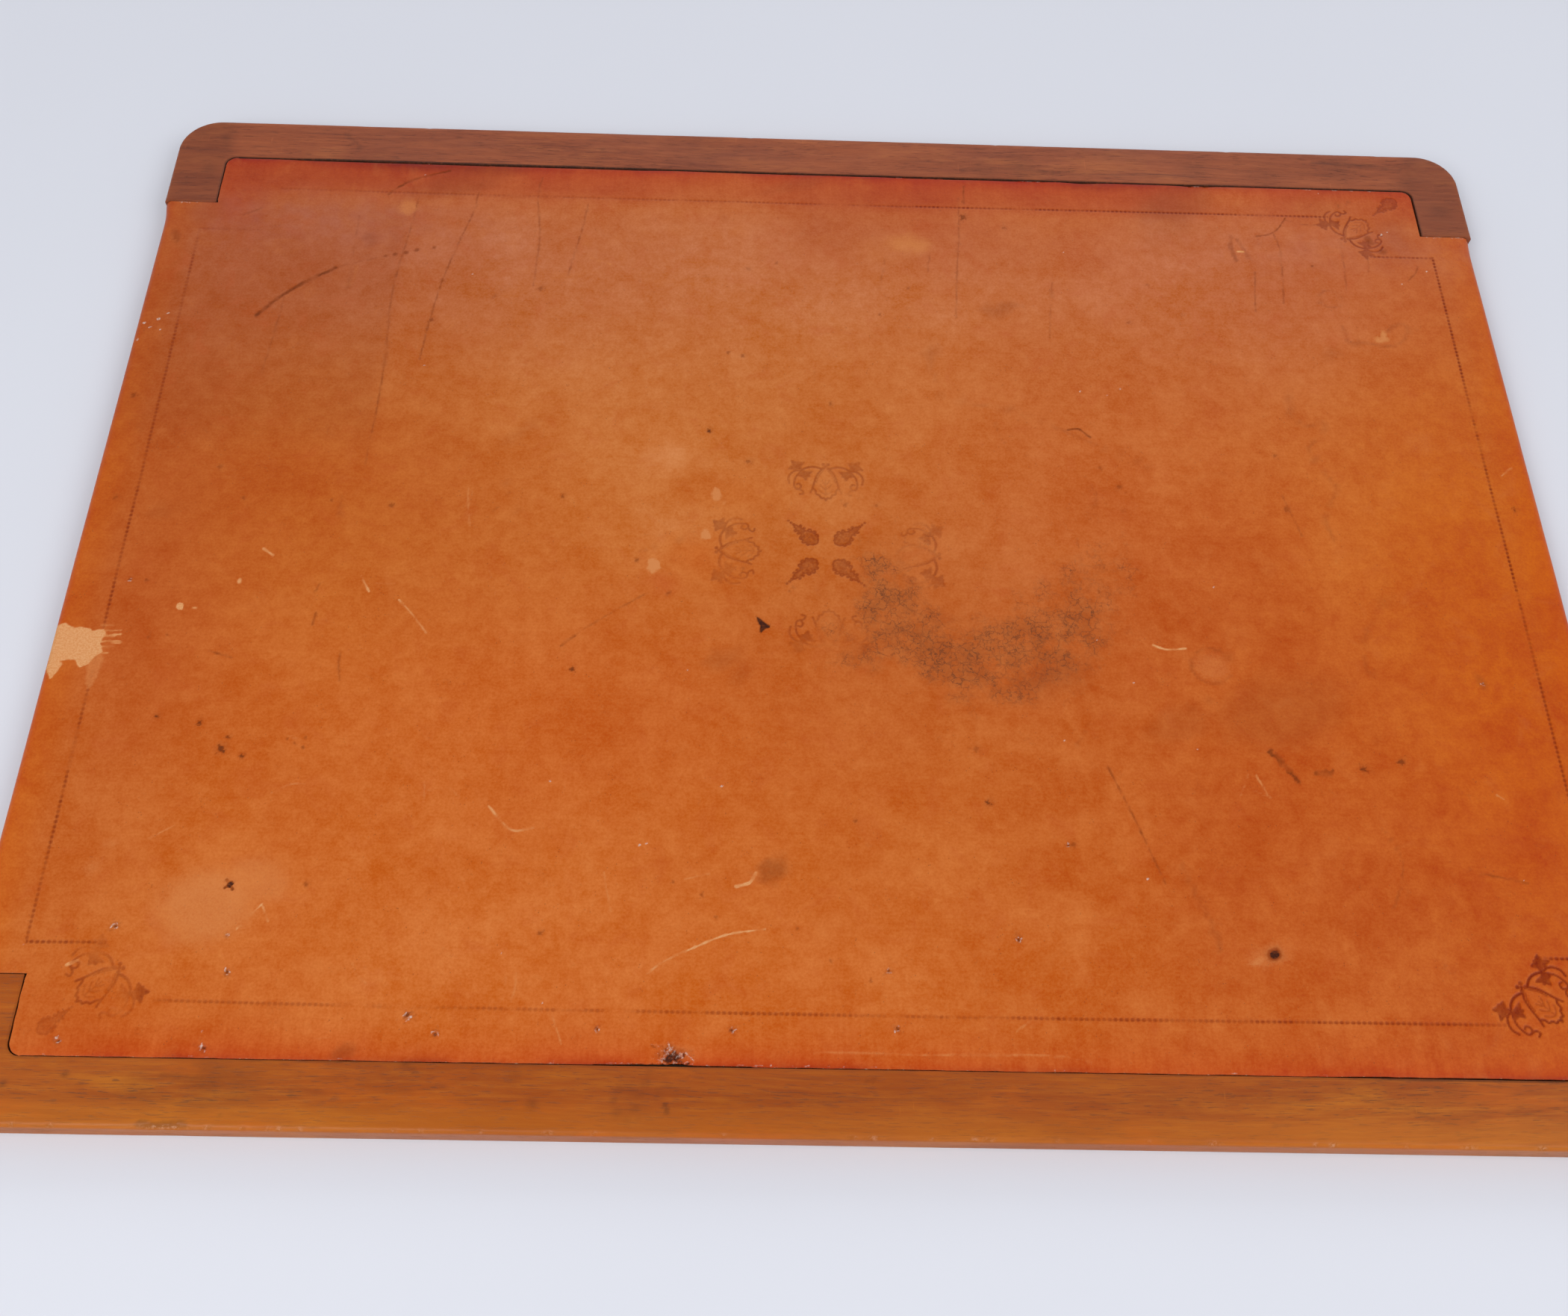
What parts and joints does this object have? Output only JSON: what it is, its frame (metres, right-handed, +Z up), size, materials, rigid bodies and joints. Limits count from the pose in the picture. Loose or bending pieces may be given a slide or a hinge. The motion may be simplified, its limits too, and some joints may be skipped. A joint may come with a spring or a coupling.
{
  "type": "desk mat",
  "caption": "Framed leather desk mat: a blind-tooled tan hide over a boarded wooden ground, closed front and back by walnut rails that return round the corners.",
  "frame": {"origin": "centre of the underside, on the plane the mat rests on", "axes": "+X to the user's right along the rails, +Y from the user's edge to the back, +Z up"},
  "size_m": [1.031, 0.794, 0.02],
  "materials": {
    "leather": "tan vegetable-tanned hide, blind-tooled, waxed and worn",
    "walnut": "old walnut, French polished, worn",
    "pine": "planed pine, unfinished, aged",
    "beech": "planed beech, unfinished",
    "tack_steel": "blued steel cut tack"
  },
  "bodies": {
    "root": {"leather_hide": "leather", "front_rail": "walnut", "rear_rail": "walnut", "ground_board_1": "pine", "ground_board_2": "pine", "ground_board_3": "pine", "ground_board_4": "pine", "board_tongue_1": "beech", "board_tongue_2": "beech", "board_tongue_3": "beech", "front_rail_tongue": "beech", "rear_rail_tongue": "beech", "tack_left_01": "tack_steel", "tack_left_02": "tack_steel", "tack_left_03": "tack_steel", "tack_left_04": "tack_steel", "tack_left_05": "tack_steel", "tack_left_06": "tack_steel", "tack_left_07": "tack_steel", "tack_left_08": "tack_steel", "tack_left_09": "tack_steel", "tack_left_10": "tack_steel", "tack_left_11": "tack_steel", "tack_left_12": "tack_steel", "tack_right_01": "tack_steel", "tack_right_02": "tack_steel", "tack_right_03": "tack_steel", "tack_right_04": "tack_steel", "tack_right_05": "tack_steel", "tack_right_06": "tack_steel", "tack_right_07": "tack_steel", "tack_right_08": "tack_steel", "tack_right_09": "tack_steel", "tack_right_10": "tack_steel", "tack_right_11": "tack_steel", "tack_right_12": "tack_steel"}
  },
  "joints": []
}
